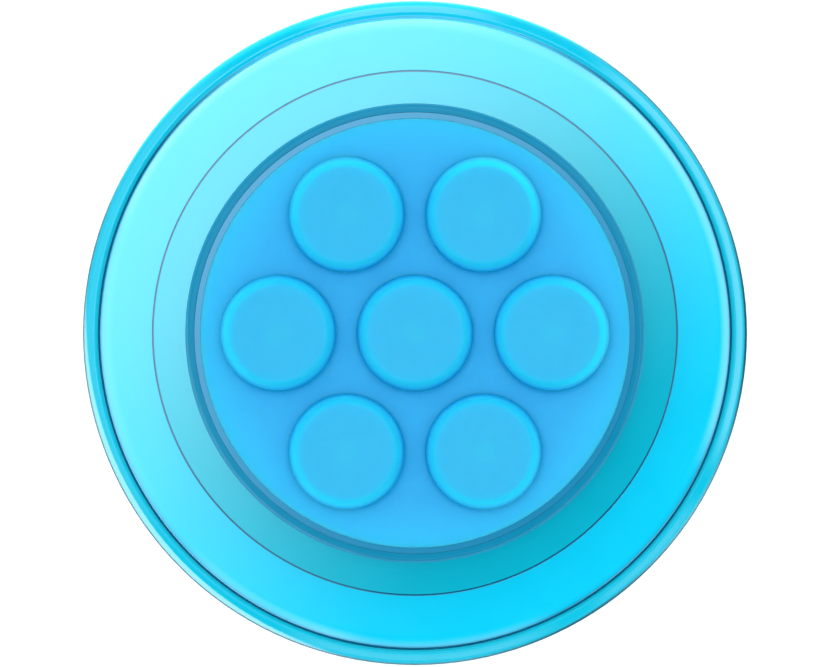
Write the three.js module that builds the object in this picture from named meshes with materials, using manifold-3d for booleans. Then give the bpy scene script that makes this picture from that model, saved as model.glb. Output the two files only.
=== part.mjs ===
// A round magnetic phone grip with a push-bubble top, shown collapsed.
//
// A thin round base holds a ring of magnets and sits on the back of a phone. A folding accordion of
// nested rings rises from its middle and ends in a platform. The top, a shallow cup with seven
// silicone push bubbles, locks onto the platform with a quarter turn.
//
// Millimetres, +Z up. The origin is the centre of the back face, which touches the phone.

import * as THREE from "three";
import { mergeVertices } from "three/addons/utils/BufferGeometryUtils.js";
import Module from "manifold-3d";

const wasm = await Module();
wasm.setup();

// ---------------------------------------------------------------- driving dimensions

const AROUND = 40; // facets round a large turned part
const AROUND_BUBBLE = 20; // facets round a bubble, its well and its hole in the pad
const FIT = 0.05; // gap between two parts that are bonded, welded or snapped together
const RUN = 0.2; // gap round a part that moves

// Base
const BASE_R = 28.75;
const MAGNET_IN = 22.8; // radii of the magnet ring's seat, from a 54.4 mm ring with a 45.6 mm hole
const MAGNET_OUT = 27.25;
const SEAM_R = 22.67; // where the front ring meets the web ring
const BACK_PAD_T = 0.6;
const FLOOR_T = 0.55;
const RIM_TOP = 3.15; // the base's highest point at its outer rim
const RING_EDGE_Z = 3.42; // front ring: height where its flat meets the rounded outer edge
const SEAM_Z = 3.76; // height of that seam
const WEB_TOP = 4.35; // the base's highest point, beside the accordion
const MAGNETS = 18;
const MAGNET_T = 1.2;
const SHUNT_T = 0.35;

// Accordion: three folds, each a hoop with an upright wall and a thin web that turns inside out
const HOOP_R = 17.5; // mean radius of the lowest hoop
const HOOP_STEP = 2.5; // how much smaller each next hoop is
const HOOP_HALF = 0.45;
const HOOP_T = 0.5;
const FOLD_T = 0.35;
const WALL_LEAN = 0.85; // how far a wall leans inwards from hoop to crest
const WALL_T = 0.4;
const CREST_Z = 4.35;
const HOOP_Z = 1.35;

// Top
const TOP_R = 19.8;
const TOP_Z = 4.75; // underside of the top when collapsed
const PLATE_T = 0.9; // floor of the top, which holds the quarter-turn lock
const PAD_Z = 8.25; // underside of the silicone pad
const PAD_T = 0.8;
const FLANGE_T = 0.3; // the pad's thin edge, which the retaining ring holds
const PAD_R = 18.5; // visible radius of the pad
const WALL_IN = 19.05; // inner radius of the top's side wall
const BUBBLE_PITCH = 11.8; // distance from the centre bubble to each of the six round it
const BUBBLE_R = 4.85;
const BUBBLE_H = 1.75; // how far a bubble stands above the pad

// Quarter-turn lock
const BOSS_R = 6.8;
const LUG_R = 8.2;
const LUG_HALF_DEG = 22;
const LUG_T = 0.35;
const LEDGE_T = 0.4;

// ---------------------------------------------------------------- helpers

const FLOOR_Z = BACK_PAD_T + FIT;
const FLOOR_TOP = FLOOR_Z + FLOOR_T;
const SEAT_Z = FLOOR_TOP + FIT; // what rests on the floor starts here
const PLATE_TOP = TOP_Z + PLATE_T;
const PAD_TOP = PAD_Z + PAD_T;
const TOP_RIM_Z = PAD_TOP - 0.15; // the side wall and the retaining ring end just below the pad

const point = (r, z) => new THREE.Vector2(r, z);

// A turned solid from [radius, height] pairs that run anticlockwise. A ring's outline closes on itself.
function turned(pairs, around = AROUND) {
  const outline = pairs.map(([r, z]) => point(r, z));
  const first = outline[0];
  if (first.x > 0) outline.push(first.clone());
  return new THREE.LatheGeometry(outline, around).rotateX(Math.PI / 2);
}

// A flat slab of a ring from angle a to angle b, in degrees.
function sector(inner, outer, a, b, low, high, steps = 4) {
  const at = (r, i) => {
    const t = THREE.MathUtils.degToRad(a + ((b - a) * i) / steps);
    return point(r * Math.cos(t), r * Math.sin(t));
  };
  const count = [...Array(steps + 1).keys()];
  const outline = [...count.map((i) => at(outer, i)), ...count.reverse().map((i) => at(inner, i))];
  const slab = new THREE.ExtrudeGeometry(new THREE.Shape(outline), {
    depth: high - low,
    bevelEnabled: false,
  });
  return slab.translate(0, 0, low);
}

function solidFrom(geometry) {
  const bare = new THREE.BufferGeometry();
  bare.setAttribute("position", geometry.getAttribute("position"));
  bare.setIndex(geometry.index);
  const merged = mergeVertices(bare, 1e-4);
  return new wasm.Manifold(
    new wasm.Mesh({
      numProp: 3,
      vertProperties: merged.attributes.position.array,
      triVerts: new Uint32Array(merged.index.array),
    }),
  );
}

function geometryFrom(solid) {
  const made = solid.getMesh();
  const geometry = new THREE.BufferGeometry();
  geometry.setAttribute("position", new THREE.BufferAttribute(made.vertProperties, 3));
  geometry.setIndex(new THREE.BufferAttribute(made.triVerts, 1));
  geometry.computeVertexNormals();
  return geometry;
}

const cut = (geometry, tools) =>
  geometryFrom(tools.reduce((left, tool) => left.subtract(solidFrom(tool)), solidFrom(geometry)));

const join = (geometry, extras) =>
  geometryFrom(extras.reduce((sum, extra) => sum.add(solidFrom(extra)), solidFrom(geometry)));

const plastic = (color, roughness, metalness = 0) =>
  new THREE.MeshStandardMaterial({ color, roughness, metalness });

const MATERIAL = {
  rim: plastic(0x1fd0ee, 0.08),
  frontRing: plastic(0x35dcff, 0.22, 0.6),
  webRing: plastic(0x26bcd8, 0.25, 0.5),
  magnet: plastic(0xc9ccd1, 0.25, 1),
  steel: plastic(0x9fa4a9, 0.35, 1),
  backPad: plastic(0x2fb4de, 0.7),
  accordion: plastic(0x45c4ee, 0.45),
  platform: plastic(0x2a9fd2, 0.4),
  topShell: plastic(0x2593bb, 0.15),
  wellPlate: plastic(0x3aa9dd, 0.5),
  silicone: plastic(0x3eb4f4, 0.4),
  retainer: plastic(0x4a9fc4, 0.3),
};

const part = (name, geometry, material) => {
  const mesh = new THREE.Mesh(geometry, material);
  mesh.name = name;
  return mesh;
};

// ---------------------------------------------------------------- base

// Soft disc on the back: grips the phone and covers the floor.
function backPad() {
  const bevel = 0.3;
  const r = MAGNET_OUT + bevel;
  return turned([
    [0, 0],
    [r - bevel, 0],
    [r, bevel],
    [r, BACK_PAD_T],
    [0, BACK_PAD_T],
  ]);
}

// Clear dish: a thin floor with a rounded rim, which also laps down round the back pad.
function baseShell() {
  const skirtIn = MAGNET_OUT + 0.4;
  const skirtZ = 0.3;
  const skirtBevel = 0.55;
  const seatR = MAGNET_OUT + 0.15;
  const seatBevel = 0.2;
  const roundIn = 0.9; // the rim's rounded outer edge, as two chamfers
  const roundDown = 0.6;
  return turned([
    [0, FLOOR_Z],
    [skirtIn, FLOOR_Z],
    [skirtIn, skirtZ],
    [BASE_R - skirtBevel, skirtZ],
    [BASE_R, skirtZ + skirtBevel],
    [BASE_R, RIM_TOP - roundDown],
    [BASE_R - 0.4 * roundIn, RIM_TOP - roundDown / 3],
    [BASE_R - roundIn, RIM_TOP],
    [seatR + seatBevel, RIM_TOP],
    [seatR, RIM_TOP - seatBevel],
    [seatR, FLOOR_TOP],
    [0, FLOOR_TOP],
  ]);
}

const magnetTop = SEAT_Z + MAGNET_T;
const shuntTop = magnetTop + FIT + SHUNT_T;

// Metallised ring over the magnets: a very shallow cone with a rounded outer edge.
function frontRing() {
  const low = shuntTop + FIT;
  const outer = MAGNET_OUT - FIT;
  const inner = SEAM_R + FIT;
  const bevel = 0.08;
  const roundIn = 0.9; // the rounded outer edge, as two chamfers
  const roundDown = 0.4;
  return turned([
    [inner, low],
    [outer, low],
    [outer, RING_EDGE_Z - roundDown],
    [outer - 0.3 * roundIn, RING_EDGE_Z - 0.3 * roundDown],
    [outer - roundIn, RING_EDGE_Z],
    [inner + bevel, SEAM_Z],
    [inner, SEAM_Z - bevel],
  ]);
}

// Ring inside the front ring, with a raised lip round the accordion. It clamps the accordion's foot.
function webRing() {
  const outer = SEAM_R - FIT;
  const bore = HOOP_R + 1.25;
  const legR = bore - FIT;
  const lip = HOOP_R + HOOP_HALF;
  const legT = 0.7;
  const skinT = 0.85;
  const bevel = 0.08;
  const boreBevel = 0.25;
  const clampZ = SEAT_Z + 0.75;
  const lipFoot = [bore + 0.95, SEAM_Z + 0.28]; // where the shallow outside turns up to the raised lip
  return turned([
    [outer - legT, SEAT_Z],
    [outer, SEAT_Z],
    [outer, SEAM_Z - bevel],
    [outer - bevel, SEAM_Z],
    lipFoot,
    [bore + 3 * boreBevel, WEB_TOP],
    [bore + boreBevel, WEB_TOP],
    [bore, WEB_TOP - boreBevel],
    [bore, clampZ + 0.5],
    [lip, clampZ + 0.3],
    [lip, clampZ],
    [legR, clampZ],
    [legR, SEAT_Z],
    [legR + legT, SEAT_Z],
    [legR + legT, WEB_TOP - skinT],
    [outer - legT, SEAM_Z - skinT],
  ]);
}

// Steel ring in front of the magnets, which turns their field towards the phone.
function shuntRing() {
  const inner = MAGNET_IN + 0.2;
  const outer = MAGNET_OUT - 0.25;
  return turned([
    [inner, magnetTop + FIT],
    [outer, magnetTop + FIT],
    [outer, shuntTop],
    [inner, shuntTop],
  ]);
}

function magnet(index) {
  const step = 360 / MAGNETS;
  const gap = 0.8; // degrees between neighbours
  const inner = MAGNET_IN + 0.25;
  const outer = MAGNET_OUT - 0.3;
  const start = index * step + gap / 2;
  return sector(inner, outer, start, start + step - gap, SEAT_Z, magnetTop, 3);
}

// ---------------------------------------------------------------- accordion

const hoopR = (level) => HOOP_R - HOOP_STEP * level;

// The upright wall that leans in from a hoop to its crest, as the outline's last points.
function wallOutline(r, hoopTop) {
  return [
    [r - WALL_LEAN, CREST_Z],
    [r - WALL_LEAN - WALL_T, CREST_Z],
    [r - HOOP_HALF, hoopTop],
  ];
}

// Lowest hoop: a flange clamped in the base, with the first wall.
function accordionFoot() {
  const flangeTop = SEAT_Z + 0.65;
  const flangeR = HOOP_R + 1.1;
  return turned([
    [HOOP_R - HOOP_HALF, SEAT_Z],
    [flangeR, SEAT_Z],
    [flangeR, flangeTop],
    [HOOP_R + 0.35, flangeTop],
    ...wallOutline(HOOP_R, flangeTop),
  ]);
}

// A free hoop with its wall, which slides up as the fold under it turns inside out.
function accordionRing(level) {
  const r = hoopR(level);
  return turned([
    [r - HOOP_HALF, HOOP_Z],
    [r + HOOP_HALF, HOOP_Z],
    [r + HOOP_HALF, HOOP_Z + HOOP_T],
    [r + 0.2, HOOP_Z + HOOP_T + 0.1],
    ...wallOutline(r, HOOP_Z + HOOP_T - 0.1),
  ]);
}

// Thin web from one wall's crest down to the next hoop.
function accordionFold(level) {
  const crest = hoopR(level) - WALL_LEAN - WALL_T - FIT;
  const foot = hoopR(level + 1) + HOOP_HALF + 2 * FIT;
  const low = HOOP_Z + 0.1;
  return turned([
    [foot, low],
    [foot + FOLD_T, low],
    [crest, CREST_Z],
    [crest - FOLD_T, CREST_Z],
  ]);
}

// Stiff cup at the accordion's narrow end, with the boss and lugs of the quarter-turn lock.
function platform() {
  const r = hoopR(3);
  const deck = TOP_Z - 0.15;
  const deckT = 0.6;
  const deckBevel = 0.3;
  const wallFoot = r - 0.7; // inside of the cup's wall, at its foot
  const wallHead = r - 1.1;
  const bossTop = PLATE_TOP - FIT;
  const cup = turned([
    [0, deck - deckT],
    [wallHead, deck - deckT],
    [wallFoot, HOOP_Z],
    [r + HOOP_HALF, HOOP_Z],
    [r + HOOP_HALF, HOOP_Z + HOOP_T],
    [r + 0.1, HOOP_Z + HOOP_T + 0.1],
    [wallHead + WALL_T + deckBevel, deck - deckBevel],
    [wallHead + WALL_T, deck],
    [BOSS_R, deck],
    [BOSS_R, bossTop],
    [0, bossTop],
  ]);
  const root = BOSS_R - 0.4; // the lugs start inside the boss
  const lug = (middle) =>
    sector(root, LUG_R, middle - LUG_HALF_DEG, middle + LUG_HALF_DEG, bossTop - LUG_T, bossTop);
  return join(cup, [lug(0), lug(180)]);
}

// ---------------------------------------------------------------- top

// Shallow cup. Its floor has a keyed hole: the lugs pass two slots, then a quarter turn puts them
// over the ledge. Two ribs stop the turn at both ends.
function topShell() {
  const holeR = BOSS_R + RUN;
  const pocketR = LUG_R + 0.3;
  const ledgeTop = TOP_Z + LEDGE_T;
  const bevel = 0.65;
  const cup = turned([
    [holeR, TOP_Z],
    [TOP_R - bevel, TOP_Z],
    [TOP_R, TOP_Z + bevel],
    [TOP_R, TOP_RIM_Z - 0.5],
    [TOP_R - 0.2, TOP_RIM_Z - 0.12],
    [TOP_R - 0.5, TOP_RIM_Z],
    [WALL_IN, TOP_RIM_Z],
    [WALL_IN, PLATE_TOP],
    [pocketR, PLATE_TOP],
    [pocketR, ledgeTop],
    [holeR, ledgeTop],
  ]);
  const slotHalf = LUG_HALF_DEG + 2;
  const slotIn = holeR - 0.5;
  const slotOut = LUG_R + RUN;
  const slot = (middle) =>
    sector(slotIn, slotOut, middle - slotHalf, middle + slotHalf, TOP_Z - 1, ledgeTop + 0.02, 6);
  const stopHalf = 45 - LUG_HALF_DEG - 1.5; // a stop fills the quarter between two lug positions
  const stopIn = pocketR - 0.7;
  const stopOut = pocketR + 0.3;
  const stopTop = PLATE_TOP - 0.1;
  const stop = (middle) =>
    sector(stopIn, stopOut, middle - stopHalf, middle + stopHalf, ledgeTop - 0.1, stopTop);
  return cut(join(cup, [stop(45), stop(225)]), [slot(90), slot(270)]);
}

const bubbleSpots = [[0, 0]];
for (let i = 0; i < 6; i++) {
  const turn = (i * Math.PI) / 3;
  bubbleSpots.push([BUBBLE_PITCH * Math.cos(turn), BUBBLE_PITCH * Math.sin(turn)]);
}

function drills(radius, low, high) {
  const cylinder = () =>
    turned([[0, low], [radius, low], [radius, high], [0, high]], AROUND_BUBBLE);
  return bubbleSpots.map(([x, y]) => cylinder().translate(x, y, 0));
}

// Stiff plate under the pad, with a round well below each bubble for it to pop into.
function wellPlate() {
  const low = PLATE_TOP + 2 * FIT;
  const high = PAD_Z - FIT;
  const r = WALL_IN - 2 * FIT;
  const wellR = BUBBLE_R + 2 * RUN;
  const disc = turned([[0, low], [r, low], [r, high], [0, high]]);
  return cut(disc, drills(wellR, low - 1, high + 1));
}

// Silicone sheet with a rounded edge and a thin flange that the retaining ring holds down.
function popperPad() {
  const flangeR = WALL_IN - 2 * FIT;
  const flangeTop = PAD_Z + FLANGE_T;
  const bevel = 0.4;
  const disc = turned([
    [0, PAD_Z],
    [flangeR, PAD_Z],
    [flangeR, flangeTop],
    [PAD_R, flangeTop],
    [PAD_R, PAD_TOP - bevel],
    [PAD_R - bevel, PAD_TOP],
    [0, PAD_TOP],
  ]);
  return cut(disc, drills(BUBBLE_R + RUN, PAD_Z - 1, PAD_TOP + 1));
}

// Snap ring between the pad and the top's side wall.
function retainingRing() {
  const low = PAD_Z + FLANGE_T + FIT;
  const inner = PAD_R + FIT;
  const outer = WALL_IN - FIT;
  const bevel = 0.1;
  return turned([
    [inner, low],
    [outer, low],
    [outer, TOP_RIM_Z],
    [inner + bevel, TOP_RIM_Z],
    [inner, TOP_RIM_Z - bevel],
  ]);
}

// Flat-topped silicone cap, open underneath.
function bubble() {
  const low = PAD_Z + 0.45;
  const high = PAD_TOP + BUBBLE_H;
  const roof = 0.8;
  const skin = 0.7;
  const bore = BUBBLE_R - skin;
  const shoulder = 0.9;
  return turned(
    [
      [0, high - roof],
      [bore, high - roof],
      [bore, low],
      [BUBBLE_R, low],
      [BUBBLE_R, high - shoulder],
      [BUBBLE_R - shoulder / 3, high - shoulder / 3],
      [BUBBLE_R - shoulder, high],
      [0, high],
    ],
    AROUND_BUBBLE,
  );
}

// ---------------------------------------------------------------- assembly

const grip = new THREE.Group();

grip.add(
  part("back_pad", backPad(), MATERIAL.backPad),
  part("base_shell", baseShell(), MATERIAL.rim),
  part("front_ring", frontRing(), MATERIAL.frontRing),
  part("web_ring", webRing(), MATERIAL.webRing),
  part("shunt_ring", shuntRing(), MATERIAL.steel),
);
for (let i = 0; i < MAGNETS; i++) {
  const name = `magnet_${String(i + 1).padStart(2, "0")}`;
  grip.add(part(name, magnet(i), MATERIAL.magnet));
}

grip.add(
  part("accordion_foot", accordionFoot(), MATERIAL.accordion),
  part("accordion_fold_lower", accordionFold(0), MATERIAL.accordion),
  part("accordion_ring_lower", accordionRing(1), MATERIAL.accordion),
  part("accordion_fold_middle", accordionFold(1), MATERIAL.accordion),
  part("accordion_ring_upper", accordionRing(2), MATERIAL.accordion),
  part("accordion_fold_upper", accordionFold(2), MATERIAL.accordion),
  part("platform", platform(), MATERIAL.platform),
);

grip.add(
  part("top_shell", topShell(), MATERIAL.topShell),
  part("well_plate", wellPlate(), MATERIAL.wellPlate),
  part("popper_pad", popperPad(), MATERIAL.silicone),
  part("retaining_ring", retainingRing(), MATERIAL.retainer),
);
bubbleSpots.forEach(([x, y], i) => {
  const cap = part(i === 0 ? "bubble_centre" : `bubble_${i}`, bubble(), MATERIAL.silicone);
  cap.position.set(x, y, 0);
  grip.add(cap);
});

export default grip;
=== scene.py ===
"""The looks of a round magnetic phone grip with a push-bubble top, folded flat.

Profiles are (radius, height) in millimetres, in the CAD model's frame, and become metres as a mesh is
made. Every visible piece is a fine turned or built mesh that stands for a coarse CAD node of the same
size. Azimuths are in degrees, from +X towards +Y.
"""

import math

import bmesh
import bpy
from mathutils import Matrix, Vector
from mathutils.geometry import delaunay_2d_cdt


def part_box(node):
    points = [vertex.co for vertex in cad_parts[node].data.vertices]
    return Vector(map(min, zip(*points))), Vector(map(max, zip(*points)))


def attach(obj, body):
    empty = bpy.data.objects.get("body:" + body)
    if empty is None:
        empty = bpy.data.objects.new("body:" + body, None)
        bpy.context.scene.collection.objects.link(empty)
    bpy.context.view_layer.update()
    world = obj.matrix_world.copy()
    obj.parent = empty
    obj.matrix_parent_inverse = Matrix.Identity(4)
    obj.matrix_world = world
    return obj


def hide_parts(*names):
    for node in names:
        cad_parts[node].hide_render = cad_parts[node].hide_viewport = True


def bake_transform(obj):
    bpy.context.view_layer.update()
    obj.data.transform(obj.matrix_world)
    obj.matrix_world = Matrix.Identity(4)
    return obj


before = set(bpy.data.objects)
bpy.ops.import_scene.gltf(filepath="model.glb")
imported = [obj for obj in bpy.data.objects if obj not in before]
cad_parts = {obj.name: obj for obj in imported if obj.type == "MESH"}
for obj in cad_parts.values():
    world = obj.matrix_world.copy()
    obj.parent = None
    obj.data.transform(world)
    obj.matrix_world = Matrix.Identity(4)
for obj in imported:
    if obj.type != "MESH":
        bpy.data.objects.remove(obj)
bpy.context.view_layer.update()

MM = 0.001
AROUND = 144  # facets round a large turned piece
AROUND_BUBBLE = 72
ARC_STEP = math.radians(11)  # largest turn between two points of a fillet
SHARP_TURN = math.radians(50)  # an edge that turns more than this shades as a sharp one
SUPPORT = 0.06  # a profile point this far beside each fillet keeps flat faces shading flat
CRISP = -1  # stands for a fillet: a sharp corner with support points
CRISP_SUPPORT = 0.015


# ---------------------------------------------------------------- sizes, some read from the frame and some given


def extent(node):
    """Outer radius, bottom and top of a CAD node that is centred on the axis, in millimetres."""
    low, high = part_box(node)
    return high.x / MM, low.z / MM, high.z / MM


def middle(node):
    """Centre of a CAD node seen from above, in millimetres."""
    low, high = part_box(node)
    centre = (low + high) / 2 / MM
    return centre.x, centre.y


BUBBLES = sorted(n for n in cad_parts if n.startswith("bubble_"))
MAGNETS = sorted(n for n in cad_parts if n.startswith("magnet_"))
BUBBLE_SPOTS = [middle(n) for n in BUBBLES]

pad_out, pad_low, pad_top = extent("popper_pad")
ring_out, ring_low, _ = extent("retaining_ring")
_, _, bubble_top = extent("bubble_centre")

PAD_R = ring_out - 0.5  # visible radius of the pad
RING_OUT = extent("front_ring")[0] + 0.05  # outer edge of the front ring
SEAT_R = RING_OUT + 0.15  # outer side of the narrow gap between the front ring and the rim
ACCORDION_BORE = 18.75  # radius of the web ring's hole, which the accordion rises through

LOCK_HOLE_R = 7.0
LOCK_POCKET_R = 8.5
LOCK_SLOT_DEPTH = 1.4
LOCK_STOP_DEPTH = 0.7
LOCK_SLOTS = (90, 270)  # azimuths of the two slots that let the lugs through
LOCK_SLOT_HALF = 24
LOCK_STOPS = (45, 225)  # azimuths of the two stops that end the quarter turn
LOCK_STOP_HALF = 21.5
LUG_REACH = 1.4
LUGS = (0, 180)
LUG_HALF = 22

BUBBLE_ROOT_R = 4.94
BUBBLE_FLAT_R = 3.96
HOLE_R = 4.92
SKIN = 0.35

LAMP_SIDE = 105  # azimuth from which the painted light on the rim and the painted shade round the bubbles fall
GAP_LIT_SIDE = 95  # azimuth where the painted light reaches the gap round the front ring; painted shade lies away from it
BUBBLE_LIT_SIDE = 30  # azimuth towards which the painted light on the bubbles' outer sides is strongest

# Degrees from a lit azimuth where each painted light and each painted shade starts and where it is
# complete.
RIM_LIGHT_FADE = (58, 42)
GAP_GLOW_FADE = (55, 15)
GAP_DARK_FADE = (20, 50)
BEVEL_DARK_FADE = (20, 60)
ROLL_DARK_FADE = (15, 40)

# Where the rim's outer edge gets a painted dark line, as azimuth, half width and strength.
PAINTED_DARK_EDGES = [(0, 35, 1.0), (302, 28, 0.85)]


# ---------------------------------------------------------------- mesh helpers


def arc(corner, towards_last, towards_next, radius):
    """Points of the fillet at one corner of a profile, with a support point on each side."""
    half = math.acos(max(-1.0, min(1.0, towards_last.dot(towards_next)))) / 2
    reach = radius / math.tan(half)
    start = corner + towards_last * reach
    end = corner + towards_next * reach
    centre = corner + (towards_last + towards_next).normalized() * radius / math.sin(half)
    turn = math.pi - 2 * half
    steps = max(2, math.ceil(turn / ARC_STEP))
    points = [start + towards_last * SUPPORT]
    for i in range(steps + 1):
        a = (start - centre) * (math.sin(turn * (1 - i / steps)) / math.sin(turn))
        b = (end - centre) * (math.sin(turn * i / steps) / math.sin(turn))
        points.append(centre + a + b)
    points.append(end + towards_next * SUPPORT)
    return points


def rounded(corners):
    """A closed profile through (radius, height, fillet) corners."""
    spots = [Vector((r, z)) for r, z, _ in corners]
    outline = []
    for i, (_, _, fillet) in enumerate(corners):
        here = spots[i]
        last = (spots[i - 1] - here).normalized()
        following = (spots[(i + 1) % len(spots)] - here).normalized()
        if fillet == CRISP:
            outline += [here + last * CRISP_SUPPORT, here, here + following * CRISP_SUPPORT]
        elif fillet and here.x > 0:
            outline += arc(here, last, following, fillet)
        else:
            outline.append(here)
    return [(p.x, p.y) for p in outline]


def add_object(name, mesh):
    piece = bpy.data.objects.new(name, mesh)
    bpy.context.scene.collection.objects.link(piece)
    return piece


def finish_mesh(name, bm):
    """Smooth-shaded mesh with its faces out, in metres."""
    bmesh.ops.recalc_face_normals(bm, faces=bm.faces)
    for vert in bm.verts:
        vert.co *= MM
    mesh = bpy.data.meshes.new(name)
    bm.to_mesh(mesh)
    bm.free()
    for face in mesh.polygons:
        face.use_smooth = True
    mesh.set_sharp_from_angle(angle=SHARP_TURN)
    return add_object(name, mesh)


def turned(name, profile, centre=(0, 0), around=AROUND, reshape=None):
    """A solid of revolution round a vertical axis through centre. A point on the axis is one vertex.

    reshape(radius, height, turn) may give a point another radius at some angles.
    """
    bm = bmesh.new()
    rows = []
    for r, z in profile:
        if r < 1e-6:
            rows.append([bm.verts.new((centre[0], centre[1], z))] * around)
            continue
        row = []
        for i in range(around):
            turn = 2 * math.pi * i / around
            reach = reshape(r, z, turn) if reshape else r
            x = centre[0] + reach * math.cos(turn)
            y = centre[1] + reach * math.sin(turn)
            row.append(bm.verts.new((x, y, z)))
        rows.append(row)
    for k, row in enumerate(rows):
        following = rows[(k + 1) % len(rows)]
        if row[0] is row[1] and following[0] is following[1]:
            continue
        for i in range(around):
            j = (i + 1) % around
            corners = []
            for vert in (row[i], row[j], following[j], following[i]):
                if vert not in corners:
                    corners.append(vert)
            bm.faces.new(corners)
    return finish_mesh(name, bm)


def set_attribute(piece, name, value_at):
    """Stores value_at(x, y, z), with the point in millimetres, as a number on each vertex."""
    layer = piece.data.attributes.new(name, "FLOAT", "POINT")
    layer.data.foreach_set("value", [value_at(*(v.co / MM)) for v in piece.data.vertices])


def degrees_between(a, b):
    return abs((a - b + 180) % 360 - 180)


def within(turn, middles, half):
    """Whether an angle in radians is no more than half degrees from one of the middles."""
    return any(degrees_between(math.degrees(turn), middle) <= half for middle in middles)


def degrees_from(azimuth, x, y):
    """Degrees between an azimuth and the direction of a point."""
    return degrees_between(math.degrees(math.atan2(y, x)), azimuth)


def smooth_step(low, high, x):
    t = max(0.0, min(1.0, (x - low) / (high - low)))
    return t * t * (3 - 2 * t)


def dress(piece, mat):
    piece.data.materials.clear()
    piece.data.materials.append(mat)
    return piece


# ---------------------------------------------------------------- material helpers


class Shader:
    """A Principled material whose inputs take plain values or node sockets."""

    def __init__(self, name):
        self.mat = bpy.data.materials.new(name)
        self.mat.use_nodes = True
        self.tree = self.mat.node_tree
        self.principled = self.tree.nodes["Principled BSDF"]
        self.coordinate = self.node("ShaderNodeTexCoord").outputs["Object"]

    def node(self, kind, **settings):
        made = self.tree.nodes.new(kind)
        for key, value in settings.items():
            setattr(made, key, value)
        return made

    def feed(self, socket, value):
        if isinstance(value, bpy.types.NodeSocket):
            self.tree.links.new(value, socket)
        elif isinstance(value, tuple) and len(value) == 3 and socket.type == "RGBA":
            socket.default_value = (*value, 1)
        else:
            socket.default_value = value

    def set(self, **inputs):
        """Keyword names are the input names with underscores for spaces."""
        for key, value in inputs.items():
            self.feed(self.principled.inputs[key.replace("_", " ")], value)
        return self

    def noise(self, size, detail=2.0, stretch=None):
        """Noise from 0 to 1 whose blobs are about size millimetres across."""
        made = self.node("ShaderNodeTexNoise")
        source = self.coordinate
        if stretch:
            stretched = self.node("ShaderNodeVectorMath", operation="MULTIPLY")
            self.feed(stretched.inputs[0], source)
            stretched.inputs[1].default_value = stretch
            source = stretched.outputs[0]
        self.feed(made.inputs["Vector"], source)
        made.inputs["Scale"].default_value = 1 / (size * MM)
        made.inputs["Detail"].default_value = detail
        return made.outputs["Fac"]

    def product(self, a, b):
        made = self.node("ShaderNodeMath", operation="MULTIPLY")
        self.feed(made.inputs[0], a)
        self.feed(made.inputs[1], b)
        return made.outputs[0]

    def between(self, value, low, high):
        """A 0 to 1 value spread over low to high."""
        made = self.node("ShaderNodeMapRange")
        self.feed(made.inputs["Value"], value)
        made.inputs["To Min"].default_value = low
        made.inputs["To Max"].default_value = high
        return made.outputs["Result"]

    def ramp(self, value, low, high, low_out, high_out):
        """A smooth step from low_out, where value is low, to high_out, where it is high."""
        made = self.node("ShaderNodeMapRange", interpolation_type="SMOOTHSTEP")
        for key, number in (("Value", value), ("From Min", low), ("From Max", high)):
            self.feed(made.inputs[key], number)
        made.inputs["To Min"].default_value = low_out
        made.inputs["To Max"].default_value = high_out
        return made.outputs["Result"]

    def mix(self, share, a, b):
        made = self.node("ShaderNodeMix", data_type="RGBA")
        self.feed(made.inputs["Factor"], share)
        self.feed(made.inputs["A"], a)
        self.feed(made.inputs["B"], b)
        return made.outputs["Result"]

    def attribute(self, name):
        return self.node("ShaderNodeAttribute", attribute_name=name).outputs["Fac"]

    def bump(self, height, depth, strength=1.0):
        """Relief of depth millimetres from a 0 to 1 height."""
        made = self.node("ShaderNodeBump")
        self.feed(made.inputs["Height"], height)
        made.inputs["Distance"].default_value = depth * MM
        made.inputs["Strength"].default_value = strength
        return made.outputs["Normal"]


# ---------------------------------------------------------------- materials


def scaled(colour, factor):
    return tuple(min(1, c * factor) for c in colour)


def metallised(name, deep, light, sheen, glint):
    """Cyan lacquer over vapour-deposited metal: a saturated body and a cyan glint under a bright coat.

    Masks on the mesh paint light where the top would shade it, and paint shade in the seam and the gap.
    """
    s = Shader(name)
    cloud = s.noise(2.5, detail=4)
    grain = s.noise(0.05, detail=1)
    body = s.mix(cloud, deep, light)
    # Painted light: a brighter copy of the lacquer, laid where the top would shade it.
    painted_lit_body = s.mix(cloud, scaled(deep, 1.2), scaled(light, 1.2))
    with_painted_light = s.mix(s.attribute("painted_fill_light"), body, painted_lit_body)
    s.set(
        # Painted shade: dark navy in the seam and the gap.
        Base_Color=s.mix(s.attribute("painted_groove_shade"), with_painted_light, (0.001, 0.13, 0.28)),
        Roughness=s.between(s.noise(0.8, detail=3), 0.12, 0.18),
        IOR=2.0,
        Specular_IOR_Level=glint,
        Specular_Tint=(0.0, 0.85, 0.95),
        Coat_Weight=sheen,
        Coat_Roughness=s.between(cloud, 0.06, 0.09),
        Coat_IOR=2.0,
        Normal=s.bump(grain, 0.002, 0.25),
    )
    return s.mat


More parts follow.
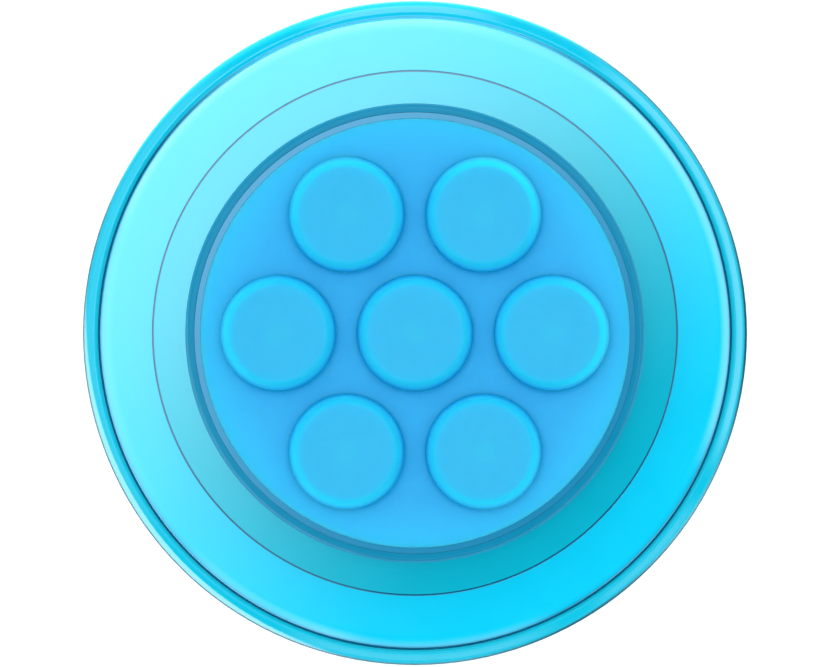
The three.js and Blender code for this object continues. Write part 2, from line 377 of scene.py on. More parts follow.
def clear_plastic(name):
    """Tinted clear plastic, with masks on the mesh that paint on it the light it carries inside, and
    shade.

    Seen edge on it is painted dark, for light gone further through it; the painted rim light makes it
    bright.
    """
    s = Shader(name)
    face_on = s.mix(s.noise(4, detail=3), (0.004, 0.58, 0.80), (0.006, 0.62, 0.85))
    facing = s.node("ShaderNodeLayerWeight")
    facing.inputs["Blend"].default_value = 0.5
    turned_away = s.ramp(facing.outputs["Facing"], 0.1, 0.42, 0.0, 1.0)
    normal = s.node("ShaderNodeSeparateXYZ")
    s.feed(normal.inputs[0], s.node("ShaderNodeNewGeometry").outputs["Normal"])
    steep = s.ramp(normal.outputs["Z"], 0.7, 0.95, 1.0, 0.0)
    edge_on = s.product(turned_away, s.product(steep, s.attribute("crest")))
    polish = s.ramp(facing.outputs["Facing"], 0.35, 0.8, 1.0, 0.0)
    # Painted shade on the rim's inner bevel, away from the lamp.
    bevelled = s.mix(s.attribute("inner"), face_on, (0.006, 0.45, 0.61))
    # Painted shade in the gap round the front ring, away from the lamp.
    with_groove_shade = s.mix(s.attribute("painted_groove_shade"), bevelled, (0.008, 0.28, 0.54))
    # Painted light that the rim brings round on the side of the lamp.
    lit = s.mix(s.attribute("painted_carried_light"), with_groove_shade, (0.006, 0.75, 0.88))
    # Painted light in the gap on the side of the lamp.
    glowing = s.mix(s.attribute("painted_gap_glow"), lit, (0.2, 0.79, 1.0))
    # Painted shade where the rim is seen edge on; painted light there on the side of the lamp.
    edge = s.mix(s.attribute("painted_carried_light"), (0.001, 0.06, 0.10), (0.02, 0.80, 0.92))
    edged = s.mix(edge_on, glowing, edge)
    s.set(
        # Painted shade: a dark line on two sides of the rim's outer edge.
        Base_Color=s.mix(s.attribute("outline"), edged, (0.001, 0.05, 0.08)),
        Roughness=s.between(s.noise(1.2, detail=3), 0.02, 0.05),
        Transmission_Weight=0.3,
        IOR=1.3,
        Specular_IOR_Level=0.0,
        Coat_Weight=s.product(polish, s.attribute("polish")),
        Coat_IOR=1.75,
        Coat_Roughness=0.06,
        # The painted light in the gap also emits a little, though the rim is no lamp.
        Emission_Color=(0.12, 0.75, 1.0),
        Emission_Strength=s.product(s.attribute("painted_gap_glow"), 0.25),
    )
    return s.mat


def silicone(name, body, painted_glow, painted_crease_shade, painted_edge_glow, painted_outer_glow):
    """Translucent silicone. Masks on the mesh paint light on its edges and crowns, and shade round the
    bubbles.
    """
    s = Shader(name)
    mottle = s.noise(0.9, detail=4)
    base = s.mix(mottle, body, scaled(body, 1.1))
    # Painted light on the bubbles' crowns and near the pad's edge.
    lit = s.mix(s.attribute("painted_glow"), base, painted_glow)
    # Painted shade round the roots of the bubbles.
    folded = s.mix(s.attribute("painted_crease_shade"), lit, painted_crease_shade)
    # Painted light round the bubbles' shoulders, stronger on their outer sides.
    lip = s.mix(s.attribute("outward"), painted_edge_glow, painted_outer_glow)
    bright = s.mix(s.attribute("edge"), folded, lip)
    s.set(
        Base_Color=bright,
        Roughness=s.between(s.noise(0.4, detail=3), 0.42, 0.52),
        Specular_IOR_Level=0.1,
        Subsurface_Weight=0.8,
        Subsurface_Radius=(0.3, 0.8, 1.0),
        Subsurface_Scale=0.0012,
        Normal=s.bump(s.noise(0.22, detail=3), 0.012, 0.5),
    )
    return s.mat


def moulded(name, body, roughness, grain=0.15, shine=0.5, tint=(1, 1, 1), ior=1.5):
    """Plain moulded plastic or rubber with a fine mould texture."""
    s = Shader(name)
    s.set(
        Base_Color=s.mix(s.noise(2, detail=4), body, scaled(body, 1.12)),
        Roughness=s.between(s.noise(0.6, detail=3), roughness - 0.04, roughness + 0.04),
        Specular_IOR_Level=shine,
        Specular_Tint=tint,
        IOR=ior,
        Normal=s.bump(s.noise(grain, detail=2), 0.004, 0.3),
    )
    return s.mat


def plated(name, body, roughness, stretch):
    """Bare or plated metal with fine grinding marks."""
    s = Shader(name)
    marks = s.noise(0.3, detail=4, stretch=stretch)
    s.set(
        Base_Color=s.mix(marks, body, scaled(body, 0.85)),
        Metallic=1.0,
        Roughness=s.between(marks, roughness, roughness + 0.12),
        Normal=s.bump(marks, 0.004, 0.4),
    )
    return s.mat


FRONT_RING = metallised(
    "metallised_ring",
    deep=(0.002, 0.56, 0.84),
    light=(0.003, 0.59, 0.88),
    sheen=1.0,
    glint=0.08,
)
# A darker copy of the front ring's lacquer: the darker colour is partly the web's own and partly painted
# shade for its steeper slope.
WEB_RING = metallised(
    "metallised_web",
    deep=(0.002, 0.47, 0.64),
    light=(0.003, 0.50, 0.68),
    sheen=0.95,
    glint=0.5,
)
CLEAR = clear_plastic("clear_rim")
SILICONE = silicone(
    "push_silicone",
    body=(0.032, 0.37, 0.68),
    # colour of the painted light on crowns and near the pad's edge
    painted_glow=(0.032, 0.43, 0.74),
    # colour of the painted shade round the bubbles
    painted_crease_shade=(0.001, 0.33, 0.71),
    painted_edge_glow=(0.006, 0.43, 0.71),
    painted_outer_glow=(0.006, 0.54, 0.76),
)
TOP_PLASTIC = moulded("top_plastic", (0.003, 0.18, 0.32), 0.12, ior=1.25)
RETAINER = moulded("retainer_plastic", (0.012, 0.20, 0.37), 0.1, tint=(0.5, 0.75, 1.0), ior=2.1)
ACCORDION = moulded("accordion_rubber", (0.02, 0.36, 0.62), 0.45)
PLATFORM = moulded("platform_plastic", (0.015, 0.27, 0.48), 0.4)
WELL = moulded("well_plastic", (0.02, 0.30, 0.55), 0.45)
BACK = moulded("back_silicone", (0.015, 0.33, 0.55), 0.7, grain=0.08)
NICKEL = plated("magnet_plating", (0.78, 0.79, 0.81), 0.18, (1, 6, 1))
STEEL = plated("shunt_steel", (0.6, 0.62, 0.64), 0.3, (6, 1, 1))


# ---------------------------------------------------------------- base


def base_rim():
    """Clear dish with a bullnose rim."""
    r, low, top = extent("base_shell")
    magnet_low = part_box("magnet_01")[0].z / MM - 0.05
    ledge_z = top - 0.3
    floor_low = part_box("back_pad")[1].z / MM + 0.05
    profile = rounded([
        (0, floor_low, 0),
        (SEAT_R + 0.2, floor_low, 0.1),
        (SEAT_R + 0.2, low, 0.1),
        (r, low, 0.55),
        (r, top - 0.49, 0.35),
        (r - 0.45, top - 0.20, 1.3),
        (SEAT_R + 0.35, top, 0.35),
        (SEAT_R, top - 0.14, 0.08),
        (SEAT_R, ledge_z, CRISP),
        (RING_OUT + 0.01, ledge_z, CRISP),
        (RING_OUT + 0.01, magnet_low, 0),
        (0, magnet_low, 0),
    ])
    piece = turned("base_rim", profile)

    def crest(z):
        """1 on the rim's crest, falling to 0 down its side."""
        return smooth_step(top - 0.9, top - 0.5, z)

    def painted_groove_shade(x, y, z):
        """Painted shade in the gap round the front ring, away from the lamp."""
        in_gap = 1 - smooth_step(SEAT_R, SEAT_R + 0.05, math.hypot(x, y))
        return smooth_step(*GAP_DARK_FADE, degrees_from(GAP_LIT_SIDE, x, y)) * in_gap

    def painted_gap_glow(x, y, z):
        """Painted light for what the clear rim carries into the gap, on the side of the lamp."""
        in_gap = 1 - smooth_step(SEAT_R, SEAT_R + 0.15, math.hypot(x, y))
        return smooth_step(*GAP_GLOW_FADE, degrees_from(GAP_LIT_SIDE, x, y)) * in_gap

    def inner(x, y, z):
        """Painted shade on the rim's inner bevel, away from the lamp."""
        reach = math.hypot(x, y)
        bevel = 0 if reach < SEAT_R - 0.01 else 1 - smooth_step(SEAT_R, SEAT_R + 0.4, reach)
        return bevel * smooth_step(*BEVEL_DARK_FADE, degrees_from(GAP_LIT_SIDE, x, y))

    def painted_carried_light(x, y, z):
        """Painted light for what the clear rim carries round to its outer edge, on the side of the lamp.
        """
        away = degrees_from(LAMP_SIDE, x, y)
        inside = 0.1 + 0.45 * smooth_step(55, 0, away)
        at_edge = smooth_step(r - inside - 0.12, r - inside + 0.12, math.hypot(x, y))
        return at_edge * smooth_step(*RIM_LIGHT_FADE, away) * crest(z)

    def outline(x, y, z):
        """Painted shade: a dark line at the rim's outer edge, on two sides."""
        side = max(
            strength * smooth_step(half_width, 0, degrees_from(azimuth, x, y))
            for azimuth, half_width, strength in PAINTED_DARK_EDGES
        )
        return side * smooth_step(r - 0.32, r - 0.1, math.hypot(x, y)) * crest(z)

    def polish(x, y, z):
        """How much the rim reflects: not in the gap, and not on the painted dark line."""
        return smooth_step(SEAT_R + 0.25, SEAT_R + 0.6, math.hypot(x, y)) * (1 - outline(x, y, z))

    set_attribute(piece, "crest", lambda x, y, z: crest(z))
    set_attribute(piece, "painted_carried_light", painted_carried_light)
    set_attribute(piece, "painted_groove_shade", painted_groove_shade)
    set_attribute(piece, "painted_gap_glow", painted_gap_glow)
    set_attribute(piece, "inner", inner)
    set_attribute(piece, "outline", outline)
    set_attribute(piece, "polish", polish)
    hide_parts("base_shell")
    return dress(piece, CLEAR)


def front_ring():
    """Shallow cone with a rounded outer edge, and a ledge on its inner side that makes the seam."""
    _, low, seam = extent("front_ring")
    r = RING_OUT
    inner = extent("web_ring")[0] + 0.14
    flat_end = 26.65
    edge = seam - 0.37
    ledge_r = inner - 0.15
    ledge_z = seam - 0.12
    profile = rounded([
        (inner, ledge_z - 0.022, CRISP),
        (ledge_r, ledge_z, CRISP),
        (ledge_r, low, 0.02),
        (r, low, 0.05),
        (r, edge - 0.14, 0.1),
        (flat_end, edge, 6.0),
        (inner, seam, CRISP),
    ])
    piece = turned("front_ring_fine", profile)

    def painted_groove_shade(x, y, z):
        """Painted shade in the seam, and on the outer edge where it rolls down into the gap away from the
        lit side.
        """
        reach = math.hypot(x, y)
        unlit = smooth_step(*ROLL_DARK_FADE, degrees_from(GAP_LIT_SIDE, x, y))
        rolled = 0.6 * unlit * smooth_step(r - 0.3, r - 0.05, reach)
        return max(1 - smooth_step(inner - 0.02, inner, reach), rolled)

    set_attribute(piece, "painted_groove_shade", painted_groove_shade)
    set_attribute(piece, "painted_fill_light", lambda x, y, z: 0)
    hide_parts("front_ring")
    return dress(piece, FRONT_RING)


def web_ring():
    """Steeper cone with a lip round the accordion, and a tongue that clamps the accordion's foot."""
    node_r, low, top = extent("web_ring")
    r = node_r - 0.02
    seam = extent("front_ring")[2]
    bore = ACCORDION_BORE
    thick = 0.7
    tongue_r = bore - 0.8
    profile = rounded([
        (r - 0.75, low, 0.05),
        (r, low, 0.05),
        (r, seam, CRISP),
        (bore + 0.8, seam + 0.29, 0.15),
        (bore + 0.5, top, 0.15),
        (bore, top, 0.2),
        (bore, low + 1.25, 0.1),
        (tongue_r, low + 1.0, 0.05),
        (tongue_r, low + 0.75, 0.05),
        (bore + thick, low + 0.75, 0.05),
        (bore + thick, top - 1, 0.1),
        (r - 0.75, seam - 0.85, 0.1),
    ])
    piece = turned("web_ring_fine", profile)
    set_attribute(piece, "painted_groove_shade", lambda x, y, z: 0)
    # Painted light near the bore, which cancels the shade that the top casts on the web.
    set_attribute(piece, "painted_fill_light", lambda x, y, z: 1 - smooth_step(bore, bore + 3.2, math.hypot(x, y)))
    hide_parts("web_ring")
    return dress(piece, WEB_RING)


def back_pad():
    """Soft disc on the phone side."""
    r, low, top = extent("back_pad")
    profile = rounded([(0, low, 0), (r, low, 0.25), (r, top, 0.05), (0, top, 0)])
    piece = turned("back_pad_fine", profile)
    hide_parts("back_pad")
    return dress(piece, BACK)


# ---------------------------------------------------------------- top


def top_shell():
    """Shallow cup. Its floor has the lock's keyed hole, with two slots for the lugs and two stops."""
    r, low, top = extent("top_shell")
    wall_in = ring_out + 0.03
    plate_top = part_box("well_plate")[0].z / MM - 0.1
    ledge_top = low + 0.4
    profile = rounded([
        (LOCK_HOLE_R, low, 0.08),
        (r, low, 0.7),
        (r, top - 0.05, 0.5),
        (wall_in, top, 0.02),
        (wall_in, plate_top, 0.1),
        (LOCK_POCKET_R, plate_top, 0.05),
        (LOCK_POCKET_R, plate_top - 0.15, 0),
        (LOCK_POCKET_R, ledge_top, 0),
        (LOCK_HOLE_R, ledge_top, 0.08),
    ])

    def keyed(reach, z, turn):
        in_hole = reach < LOCK_HOLE_R + 0.2
        on_pocket = abs(reach - LOCK_POCKET_R) < 0.01 and z < plate_top - 0.1
        if in_hole and within(turn, LOCK_SLOTS, LOCK_SLOT_HALF):
            return reach + LOCK_SLOT_DEPTH
        if on_pocket and within(turn, LOCK_STOPS, LOCK_STOP_HALF):
            return reach - LOCK_STOP_DEPTH
        return reach

    piece = turned("top_shell_fine", profile, reshape=keyed)
    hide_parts("top_shell")
    return dress(piece, TOP_PLASTIC)


def retaining_ring():
    """Ring that holds the pad down. Its top slopes down a little to the outside."""
    r, low, top = extent("retaining_ring")
    inner = PAD_R + 0.01
    outer = r + 0.01
    profile = rounded([
        (inner, low, 0.04),
        (outer, low, 0.04),
        (outer, top, 0.02),
        (inner, top + 0.04, CRISP),
    ])
    piece = turned("retaining_ring_fine", profile)
    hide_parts("retaining_ring")
    return dress(piece, RETAINER)


def nearest_bubble(x, y):
    """Distance from a point to the middle of the nearest bubble."""
    return min(math.hypot(x - bx, y - by) for bx, by in BUBBLE_SPOTS)


PAD_ROLL = 1.1  # width of the pad's rolled edge
PAD_ROLL_DROP = 0.12
PAD_FILLET = 0.18  # radius of the fillet from the pad up to each bubble
HOLE_LOOPS = (0.01, 0.03, 0.06, 0.1, 0.14, 0.18, 0.26, 0.36, 0.5, 0.7)  # distances outside a hole
EDGE_LOOPS = (0.004, 0.02, 0.06, 0.13, 0.24, 0.4, 0.6, 0.85, 1.1, 1.2)  # distances inside the edge
PAD_PITCH = 0.6  # spacing of the points between the loops
ROW_PITCH = 0.87 * PAD_PITCH


def quarter_round(x):
    """Rise of a quarter circle, from 0 at x = 0 or less to 1 at x = 1."""
    x = max(0.0, min(1.0, x))
    return 1 - math.sqrt(1 - x * x)


def pad_height(x, y):
    """Top surface of the pad: flat, rolled over at its edge, with a small fillet up to each bubble."""
    fall = PAD_ROLL_DROP * quarter_round((math.hypot(x, y) - (PAD_R - PAD_ROLL)) / PAD_ROLL)
    rise = PAD_FILLET * quarter_round(1 - (nearest_bubble(x, y) - HOLE_R) / PAD_FILLET)
    return pad_top - fall + rise


def circle(radius, count, centre=(0, 0)):
    turns = [2 * math.pi * i / count for i in range(count)]
    return [Vector((centre[0] + radius * math.cos(t), centre[1] + radius * math.sin(t))) for t in turns]


def pad_points():
    """Points of the pad's top, seen from above: the outer loop, the loops round the holes, the rest."""
    outer = circle(PAD_R, AROUND)
    holes = [circle(HOLE_R, AROUND_BUBBLE, spot) for spot in BUBBLE_SPOTS]
    rest = []
    for spot in BUBBLE_SPOTS:
        for step in HOLE_LOOPS:
            rest += circle(HOLE_R + step, AROUND_BUBBLE, spot)
    for step in EDGE_LOOPS:
        rest += [p for p in circle(PAD_R - step, AROUND) if nearest_bubble(*p) > HOLE_R + 0.75]
    rows = int(PAD_R / PAD_PITCH)
    for j in range(-rows, rows + 1):
        for i in range(-rows - 1, rows + 2):
            spot = Vector(((i + 0.5 * (j % 2)) * PAD_PITCH, j * ROW_PITCH))
            if spot.length < PAD_R - 1.4 and nearest_bubble(*spot) > HOLE_R + 0.9:
                rest.append(spot)
    return outer, holes, rest


def loop_edges(start, count):
    return [(start + i, start + (i + 1) % count) for i in range(count)]


def bridge(bm, lower, upper):
    """Quads between two loops of the same length."""
    count = len(lower)
    for i in range(count):
        j = (i + 1) % count
        bm.faces.new((lower[i], lower[j], upper[j], upper[i]))


def push_pad():
    """Silicone sheet with seven holes, a rolled edge and a flange that the retaining ring holds."""
    outer, holes, rest = pad_points()
    flat = outer + [p for hole in holes for p in hole] + rest
    edges = loop_edges(0, len(outer))
    for k in range(len(holes)):
        edges += loop_edges(len(outer) + k * AROUND_BUBBLE, AROUND_BUBBLE)
    spots, _, triangles, *_ = delaunay_2d_cdt(flat, edges, [], 0, 1e-4)
    bm = bmesh.new()
    upper = [bm.verts.new((p.x, p.y, pad_height(*p))) for p in spots]
    lower = [bm.verts.new((p.x, p.y, pad_low)) for p in spots]
    for tri in triangles:
        centre = sum((spots[i] for i in tri), Vector((0, 0))) / 3
        if nearest_bubble(*centre) > HOLE_R:
            bm.faces.new([upper[i] for i in tri])
            bm.faces.new([lower[i] for i in reversed(tri)])
    for k in range(len(holes)):
        start = len(outer) + k * AROUND_BUBBLE
        bridge(bm, lower[start:start + AROUND_BUBBLE], upper[start:start + AROUND_BUBBLE])
    bevel = 0.03
    flange_top = ring_low - 0.05
    flange = [
        (pad_out - bevel, pad_low),
        (pad_out, pad_low + bevel),
        (pad_out, flange_top - bevel),
        (pad_out - bevel, flange_top),
        (PAD_R + 0.02, flange_top),
    ]
    last = lower[:len(outer)]
    for r, z in flange:
        loop = [bm.verts.new((p.x, p.y, z)) for p in circle(r, AROUND)]
        bridge(bm, last, loop)
        last = loop
    bridge(bm, last, upper[:len(outer)])
    loose = [v for v in bm.verts if not v.link_faces]
    bmesh.ops.delete(bm, geom=loose, context="VERTS")
    piece = finish_mesh("push_pad", bm)

    def painted_crease_shade(x, y, z):
        """Painted shade round each bubble, wider on the side away from the lamp."""
        bx, by = min(BUBBLE_SPOTS, key=lambda spot: math.dist(spot, (x, y)))
        shade = 0.5 - 0.5 * math.cos(math.atan2(y - by, x - bx) - math.radians(LAMP_SIDE))
        outer_side = smooth_step(15, 16.8, math.hypot(x, y))
        near = 1 - smooth_step(HOLE_R, HOLE_R + 0.28 + 0.3 * shade, nearest_bubble(x, y))
        return near * (1 - 0.6 * outer_side)

    # Painted light on the pad's rolled edge.
    def edge(x, y, z):
        return 0.2 * smooth_step(PAD_R - PAD_ROLL, PAD_R - 0.5, math.hypot(x, y))

    set_attribute(piece, "painted_crease_shade", painted_crease_shade)
    # Painted light within a few millimetres of the pad's edge.
    set_attribute(piece, "painted_glow", lambda x, y, z: smooth_step(PAD_R - 4, PAD_R - 1, math.hypot(x, y)))
    set_attribute(piece, "edge", edge)
    set_attribute(piece, "outward", lambda x, y, z: 0)
    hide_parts("popper_pad")
    return dress(piece, SILICONE)


def bubble_profile():
    """Thin flat-topped skin: a straight root, an elliptical shoulder and a shallow centre dimple."""
    root_low = pad_top - 0.5
    root_high = pad_top + 0.1
    rise = bubble_top - root_high
    wide = BUBBLE_ROOT_R - BUBBLE_FLAT_R
    steps = 14
    outside = []
    inside = []
    for i in range(steps + 1):
        t = math.pi / 2 * i / steps
        outside.append((BUBBLE_FLAT_R + wide * math.cos(t), root_high + rise * math.sin(t)))
        inside.append((
            BUBBLE_FLAT_R + (wide - SKIN) * math.cos(t),
            root_high + (rise - SKIN) * math.sin(t),
        ))
    dimple = [(3.2, 0), (2.2, 0), (1.2, 0), (0.9, 0.02), (0.7, 0.04), (0.4, 0.05), (0, 0.05)]
    roof = [(r, bubble_top - drop) for r, drop in dimple]
    under = [(r, bubble_top - SKIN) for r, _ in reversed(dimple)]
    inner_r = BUBBLE_ROOT_R - SKIN
    wall_up = [(BUBBLE_ROOT_R, root_low + 0.05), (BUBBLE_ROOT_R, pad_top - 0.2)]
    wall_down = [(inner_r, pad_top - 0.2), (inner_r, root_low + 0.05)]
    foot = [(inner_r + 0.05, root_low), (BUBBLE_ROOT_R - 0.05, root_low)]
    return wall_up + outside + roof + under + inside[::-1] + wall_down + foot


def bubble_skin(node):
    """A bubble's thin skin, turned round the bubble's middle. On the real grip it turns inside out."""
    x0, y0 = middle(node)
    piece = turned(f"{node}_skin", bubble_profile(), (x0, y0), AROUND_BUBBLE)

    def reach(x, y):
        return math.hypot(x - x0, y - y0)

    def outward(x, y, z):
        """Painted light: how far a point is on the bubble's outer side, more so on the side of the lamp.
        """
        lamp_side = math.cos(math.atan2(y, x) - math.radians(BUBBLE_LIT_SIDE))
        return smooth_step(12, 16.5, math.hypot(x, y)) * (0.3 + 0.7 * smooth_step(-0.2, 1, lamp_side))

    def painted_crease_shade(x, y, z):
        """Painted shade at the root, weaker where the painted light comes out."""
        return smooth_step(4.55, BUBBLE_ROOT_R, reach(x, y)) * (1 - 0.7 * outward(x, y, z))

    def edge(x, y, z):
        """Painted light in a band round the shoulder."""
        return smooth_step(3.85, 4.35, reach(x, y)) * (1 - smooth_step(4.5, 4.85, reach(x, y)))

    def painted_glow(x, y, z):
        """Painted light: a slightly brighter crown, most of all at its dimple."""
        return 0.35 + 0.5 * smooth_step(1.4, 0.4, reach(x, y))

    set_attribute(piece, "painted_glow", painted_glow)
    set_attribute(piece, "painted_crease_shade", painted_crease_shade)
    set_attribute(piece, "edge", edge)
    set_attribute(piece, "outward", outward)
    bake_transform(piece)
    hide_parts(node)
    return dress(piece, SILICONE)


# ---------------------------------------------------------------- accordion


HOOP_HALF = 0.45
HOOP_T = 0.5
WALL_LEAN = 0.85
WALL_T = 0.4
FOLD_T = 0.32


def wall_corners(hoop_r, low, crest):
    """Corners of the upright wall that leans in from a hoop to its crest."""
    return [
        (hoop_r + 0.2, low + HOOP_T + 0.12, 0.08),
        (hoop_r - WALL_LEAN, crest, 0.16),
        (hoop_r - WALL_LEAN - WALL_T, crest, 0.16),
        (hoop_r - HOOP_HALF, low + HOOP_T - 0.1, 0.1),
    ]


def accordion_foot():
    """The flange that the web ring clamps, with the lowest wall."""
    flange_r, low, crest = extent("accordion_foot")
    hoop_r = flange_r - 1.1
    profile = rounded([
        (hoop_r - HOOP_HALF, low, 0.1),
        (flange_r, low, 0.1),
        (flange_r, low + 0.65, 0.1),
        *wall_corners(hoop_r, low, crest),
    ])
    piece = turned("accordion_foot_fine", profile)
    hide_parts("accordion_foot")
    return dress(piece, ACCORDION)


def accordion_ring(level):
    """A free hoop with its wall."""
    node = f"accordion_ring_{level}"
    r, low, crest = extent(node)
    hoop_r = r - HOOP_HALF
    profile = rounded([
        (hoop_r - HOOP_HALF, low, 0.15),
        (r, low, 0.2),
        (r, low + HOOP_T, 0.2),
        *wall_corners(hoop_r, low, crest),
    ])
    piece = turned(f"{node}_fine", profile)
    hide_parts(node)
    return dress(piece, ACCORDION)


def accordion_fold(level, inner_node):
    """Thin web from a wall's crest to the next hoop; on the real grip it turns inside out as it extends.
    """
    node = f"accordion_fold_{level}"
    crest_r, foot, crest = extent(node)
    foot_r = extent(inner_node)[0]
    steps = 28
    outside = []
    inside = []
    for i in range(steps + 1):
        down = i / steps
        r = (crest_r + 0.06) * (1 - down) + (foot_r + FOLD_T) * down
        z = crest * (1 - down) + foot * down
        outside.append((r, z))
        inside.append((r - FOLD_T, z))
    piece = turned(f"{node}_fine", inside + outside[::-1])
    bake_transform(piece)
    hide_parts(node)
    return dress(piece, ACCORDION)


def platform():
    """Stiff cup at the accordion's narrow end, with the boss and the two lugs of the lock."""
    r, low, boss_top = extent("platform")
    hoop_r = r - HOOP_HALF
    deck = extent("top_shell")[1] - 0.15
    boss_r = LOCK_HOLE_R - 0.2
    lug_low = boss_top - 0.35
    profile = rounded([
        (0, deck - 0.6, 0),
        (hoop_r - 1.1, deck - 0.6, 0.2),
        (hoop_r - 0.7, low, 0.1),
        (r, low, 0.2),
        (r, low + HOOP_T, 0.2),
        (hoop_r + 0.1, low + HOOP_T + 0.12, 0.08),
        (hoop_r - 0.45, deck, 0.3),
        (boss_r, deck, 0.05),
        (boss_r, lug_low - 0.02, 0),
        (boss_r + 0.01, lug_low, 0),
        (boss_r + 0.01, boss_top, 0),
        (boss_r - 0.1, boss_top, 0),
        (0, boss_top, 0),
    ])

    def lugged(reach, z, turn):
        on_lug = z > lug_low - 0.01 and abs(reach - boss_r) < 0.05
        return reach + LUG_REACH if on_lug and within(turn, LUGS, LUG_HALF) else reach

    piece = turned("platform_fine", profile, reshape=lugged)
    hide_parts("platform")
    return dress(piece, PLATFORM)


# ---------------------------------------------------------------- stage


def floor():
    """Pale floor that is seen through from below."""
    bm = bmesh.new()
    bmesh.ops.create_grid(bm, x_segments=1, y_segments=1, size=3)
    mesh = bpy.data.meshes.new("floor")
    bm.to_mesh(mesh)
    bm.free()
    plane = add_object("floor", mesh)
    s = Shader("floor_paper")
    s.set(
        Base_Color=(0.9, 0.9, 0.9),
        Roughness=0.9,
        Specular_IOR_Level=0.0,
        Emission_Color=(1, 1, 1),
        Emission_Strength=0.3,
    )
    clear = s.node("ShaderNodeBsdfTransparent")
    switch = s.node("ShaderNodeMixShader")
    s.feed(switch.inputs[0], s.node("ShaderNodeNewGeometry").outputs["Backfacing"])
    s.feed(switch.inputs[1], s.principled.outputs[0])
    s.feed(switch.inputs[2], clear.outputs[0])
    s.feed(s.tree.nodes["Material Output"].inputs["Surface"], switch.outputs[0])
    mesh.materials.append(s.mat)


class SkyMaths:
    """Small helper for the world's node arithmetic."""

    def __init__(self, tree):
        self.tree = tree

    def node(self, kind, *inputs, **settings):
        made = self.tree.nodes.new(kind)
        for key, value in settings.items():
            setattr(made, key, value)
        for socket, value in zip(made.inputs, inputs):
            if isinstance(value, bpy.types.NodeSocket):
                self.tree.links.new(value, socket)
            elif value is not None:
                socket.default_value = value
        return made

    def math(self, operation, a, b=0.0):
        return self.node("ShaderNodeMath", a, b, operation=operation).outputs[0]

    def ramp(self, value, low, high, low_out, high_out):
        made = self.node(
            "ShaderNodeMapRange", value, low, high, low_out, high_out, interpolation_type="SMOOTHSTEP"
        )
        return made.outputs[0]


# Softboxes that a shiny surface sees: azimuth, half width, the sines of the angles from straight up
# where the softbox starts and ends, and strength.
SOFTBOXES = [
    (16, 36, 0.34, 0.85, 1.6),
    (92, 13, 0.52, 0.85, 1.6),
    (118, 38, 0.36, 0.54, 1.1),
    (172, 42, 0.52, 0.85, 0.5),
    (242, 14, 0.32, 0.54, 0.95),
    (271, 20, 0.38, 0.85, 0.8),
    (316, 8, 0.54, 0.85, 0.8),
]

# Round lamps on the horizon: azimuth, half angle and strength.
ROUND_LAMPS = [
    (215, 42, 3.9),
    (320, 22, 1.6),
]
HORIZON_GLOW = 0.45
OVERHEAD_SIDE = 128  # azimuth towards which the light straight overhead gets brighter
FILL_SIDE = 110  # azimuth from which the fill is strongest
SOFTBOX_BLUR = 7  # degrees from each side of a softbox's edge over which it fades
LAMP_BLUR = 4


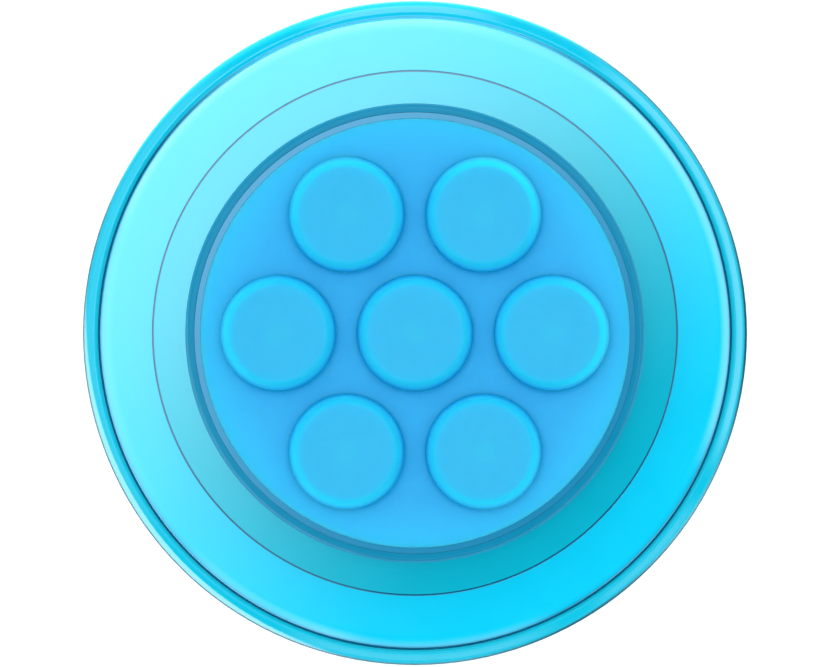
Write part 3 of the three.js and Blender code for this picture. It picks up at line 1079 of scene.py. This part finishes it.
def studio_world():
    """Even fill for matt surfaces, and a studio of softboxes for shiny ones to reflect.

    Straight overhead the studio turns from bright to dark across the camera, so shallow cones show
    which way they face. The camera itself sees plain white.
    """
    world = bpy.data.worlds.new("studio")
    bpy.context.scene.world = world
    world.use_nodes = True
    sky = SkyMaths(world.node_tree)
    direction = sky.node("ShaderNodeTexCoord").outputs["Generated"]
    flat = sky.node("ShaderNodeVectorMath", direction, (1, 1, 0), operation="MULTIPLY").outputs[0]
    off_axis = sky.node("ShaderNodeVectorMath", flat, operation="LENGTH").outputs["Value"]
    outward = sky.node("ShaderNodeVectorMath", flat, operation="NORMALIZE").outputs[0]

    def along(vector, azimuth):
        turn = math.radians(azimuth)
        compass = (math.cos(turn), math.sin(turn), 0)
        return sky.node("ShaderNodeVectorMath", vector, compass, operation="DOT_PRODUCT").outputs["Value"]

    def edge_cosines(half_angle, blur):
        """Cosines just outside and just inside the edge of a light."""
        return math.cos(math.radians(half_angle + blur)), math.cos(math.radians(half_angle - blur))

    overhead = sky.ramp(along(flat, OVERHEAD_SIDE), -0.19, 0.24, 0.0, 2.0)
    studio = sky.math("MULTIPLY", overhead, sky.ramp(off_axis, 0.48, 0.56, 1.0, 0.0))
    for azimuth, half_width, near, far, strength in SOFTBOXES:
        outside, inside = edge_cosines(half_width, SOFTBOX_BLUR)
        across = sky.ramp(along(outward, azimuth), outside, inside, 0.0, strength)
        starts = sky.ramp(off_axis, near - 0.08, near + 0.08, 0.0, 1.0)
        ends = sky.ramp(off_axis, far - 0.04, far + 0.04, 1.0, 0.0)
        box = sky.math("MULTIPLY", across, sky.math("MULTIPLY", starts, ends))
        studio = sky.math("ADD", studio, box)
    for azimuth, half_angle, strength in ROUND_LAMPS:
        outside, inside = edge_cosines(half_angle, LAMP_BLUR)
        lamp = sky.ramp(along(direction, azimuth), outside, inside, 0.0, strength)
        studio = sky.math("ADD", studio, lamp)
    studio = sky.math("ADD", studio, sky.ramp(off_axis, 0.8, 1.0, 0.0, HORIZON_GLOW))
    sideways = sky.ramp(along(direction, FILL_SIDE), -1.0, 1.0, 1.25, 1.65)
    fill = sky.math("MULTIPLY", sideways, sky.ramp(off_axis, 0.3, 0.5, 0.5, 1.1))

    rays = sky.node("ShaderNodeLightPath")
    light = sky.node("ShaderNodeMix", rays.outputs["Is Glossy Ray"], None, fill, studio).outputs[0]
    lit = sky.node("ShaderNodeBackground", (1, 1, 1, 1), light).outputs[0]
    white = sky.node("ShaderNodeBackground", (1, 1, 1, 1), 1.0).outputs[0]
    switch = sky.node("ShaderNodeMixShader", rays.outputs["Is Camera Ray"], lit, white).outputs[0]
    world.node_tree.links.new(switch, world.node_tree.nodes["World Output"].inputs["Surface"])


CAMERA_HEIGHT = 1.2  # metres
CAMERA_SHIFT = (0.00017, -0.00004)  # metres, so that the object sits slightly off the middle
LENS_MM = 597


def camera():
    """Straight above the face, with a long lens."""
    lens = bpy.data.cameras.new("camera")
    lens.lens = LENS_MM
    lens.clip_end = 10
    holder = bpy.data.objects.new("camera", lens)
    holder.location = (*CAMERA_SHIFT, CAMERA_HEIGHT)
    bpy.context.scene.collection.objects.link(holder)
    bpy.context.scene.camera = holder


# ---------------------------------------------------------------- assembly


# Hidden nodes that keep their CAD shape.
KEPT_NODES = {"shunt_ring": STEEL, "well_plate": WELL, **{node: NICKEL for node in MAGNETS}}
for node, mat in KEPT_NODES.items():
    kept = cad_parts[node]
    kept.data.materials.clear()
    kept.data.materials.append(mat)

for make in (base_rim, front_ring, web_ring, back_pad, accordion_foot):
    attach(make(), "base")
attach(accordion_ring("lower"), "lower_ring")
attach(accordion_ring("upper"), "upper_ring")
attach(platform(), "platform")
accordion_fold("lower", "accordion_ring_lower")
accordion_fold("middle", "accordion_ring_upper")
accordion_fold("upper", "platform")
for make in (top_shell, retaining_ring, push_pad):
    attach(make(), "top")
for node in BUBBLES:
    bubble_skin(node)

floor()
studio_world()
camera()
bpy.context.scene.view_settings.view_transform = "Standard"
